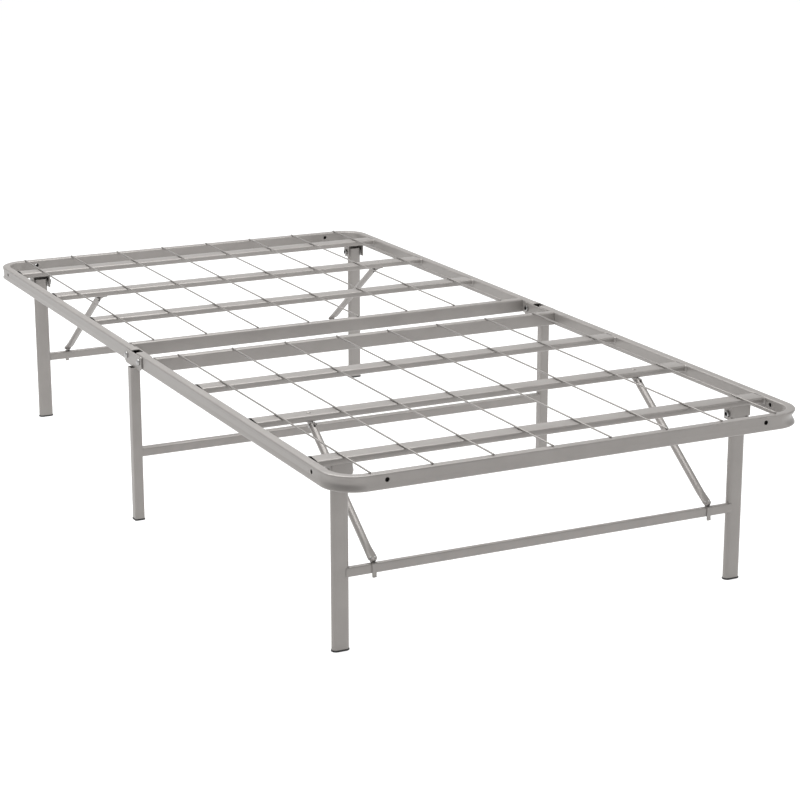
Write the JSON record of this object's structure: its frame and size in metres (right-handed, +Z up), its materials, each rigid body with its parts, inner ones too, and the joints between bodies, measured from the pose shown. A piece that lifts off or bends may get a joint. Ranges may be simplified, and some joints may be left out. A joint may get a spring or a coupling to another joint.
{
  "type": "folding metal bed frame",
  "caption": "Low folding platform bed frame of painted steel tube, with slats and support wires, hinged at the middle over folding legs.",
  "frame": {"origin": "bottom centre of the frame, on the floor, midway between the hinge bolts", "axes": "+X across the width to the right seen from the foot, +Y along the length to the head, +Z up"},
  "size_m": [0.964, 1.905, 0.3545],
  "materials": {
    "frame_paint": "satin warm grey paint",
    "wire_paint": "satin warm grey paint on round wire",
    "zinc_hardware": "bright zinc plate",
    "foot_plastic": "matt black plastic"
  },
  "bodies": {
    "centre_frame": {"centre_hinge_bracket_left": "frame_paint", "centre_hinge_bracket_right": "frame_paint", "centre_leg_left": "frame_paint", "centre_leg_right": "frame_paint", "centre_leg_left_pad": "foot_plastic", "centre_leg_right_pad": "foot_plastic", "hinge_bolt_foot_left": "zinc_hardware", "hinge_bolt_foot_right": "zinc_hardware", "hinge_bolt_head_left": "zinc_hardware", "hinge_bolt_head_right": "zinc_hardware", "centre_stretcher": "frame_paint"},
    "foot_half": {"foot_rail": "frame_paint", "foot_hinge_cross_rail": "frame_paint", "foot_slat_1_with_leg_brackets": "frame_paint", "foot_slat_2": "frame_paint", "foot_slat_3": "frame_paint", "foot_wire_1": "wire_paint", "foot_wire_2": "wire_paint", "foot_wire_3": "wire_paint", "foot_wire_4": "wire_paint", "foot_wire_5": "wire_paint", "foot_wire_6": "wire_paint", "foot_wire_7": "wire_paint", "foot_wire_8": "wire_paint", "foot_leg_left_bolt": "zinc_hardware", "foot_leg_right_bolt": "zinc_hardware", "foot_brace_left_bracket": "frame_paint", "foot_brace_right_bracket": "frame_paint"},
    "foot_legs": {"foot_leg_left": "frame_paint", "foot_leg_right": "frame_paint", "foot_leg_left_pad": "foot_plastic", "foot_leg_right_pad": "foot_plastic", "foot_stretcher": "frame_paint"},
    "foot_brace_left": {"foot_brace_left": "frame_paint"},
    "foot_brace_right": {"foot_brace_right": "frame_paint"},
    "head_half": {"head_rail": "frame_paint", "head_hinge_cross_rail": "frame_paint", "head_slat_1_with_leg_brackets": "frame_paint", "head_slat_2": "frame_paint", "head_slat_3": "frame_paint", "head_wire_1": "wire_paint", "head_wire_2": "wire_paint", "head_wire_3": "wire_paint", "head_wire_4": "wire_paint", "head_wire_5": "wire_paint", "head_wire_6": "wire_paint", "head_wire_7": "wire_paint", "head_wire_8": "wire_paint", "head_leg_left_bolt": "zinc_hardware", "head_leg_right_bolt": "zinc_hardware", "head_brace_left_bracket": "frame_paint", "head_brace_right_bracket": "frame_paint"},
    "head_legs": {"head_leg_left": "frame_paint", "head_leg_right": "frame_paint", "head_leg_left_pad": "foot_plastic", "head_leg_right_pad": "foot_plastic", "head_stretcher": "frame_paint"},
    "head_brace_left": {"head_brace_left": "frame_paint"},
    "head_brace_right": {"head_brace_right": "frame_paint"}
  },
  "joints": [
    {"name": "foot_fold", "type": "hinge", "parent": "centre_frame", "child": "foot_half", "pos_m": [0, -0.034, 0.337], "axis": [1, 0, 0], "range_deg": [0, 90]},
    {"name": "foot_leg_fold", "type": "hinge", "parent": "foot_half", "child": "foot_legs", "pos_m": [0, -0.824, 0.323], "axis": [1, 0, 0], "range_deg": [0, 90]},
    {"name": "foot_brace_left_swing", "type": "hinge", "parent": "foot_half", "child": "foot_brace_left", "pos_m": [-0.343, -0.582, 0.3315], "axis": [-1, 0, 0], "range_deg": [0, 35.5]},
    {"name": "foot_brace_right_swing", "type": "hinge", "parent": "foot_half", "child": "foot_brace_right", "pos_m": [0.343, -0.582, 0.3315], "axis": [-1, 0, 0], "range_deg": [0, 35.5]},
    {"name": "head_fold", "type": "hinge", "parent": "centre_frame", "child": "head_half", "pos_m": [0, 0.034, 0.337], "axis": [-1, 0, 0], "range_deg": [0, 90]},
    {"name": "head_leg_fold", "type": "hinge", "parent": "head_half", "child": "head_legs", "pos_m": [0, 0.824, 0.323], "axis": [-1, 0, 0], "range_deg": [0, 90]},
    {"name": "head_brace_left_swing", "type": "hinge", "parent": "head_half", "child": "head_brace_left", "pos_m": [-0.343, 0.582, 0.3315], "axis": [1, 0, 0], "range_deg": [0, 35.5]},
    {"name": "head_brace_right_swing", "type": "hinge", "parent": "head_half", "child": "head_brace_right", "pos_m": [0.343, 0.582, 0.3315], "axis": [1, 0, 0], "range_deg": [0, 35.5]}
  ],
  "couplings": [
    {"joint": "foot_leg_fold", "follows": "foot_fold", "ratio": 1},
    {"joint": "foot_brace_left_swing", "follows": "foot_fold", "ratio": 0.3944},
    {"joint": "foot_brace_right_swing", "follows": "foot_fold", "ratio": 0.3944},
    {"joint": "head_leg_fold", "follows": "head_fold", "ratio": 1},
    {"joint": "head_brace_left_swing", "follows": "head_fold", "ratio": 0.3944},
    {"joint": "head_brace_right_swing", "follows": "head_fold", "ratio": 0.3944}
  ]
}
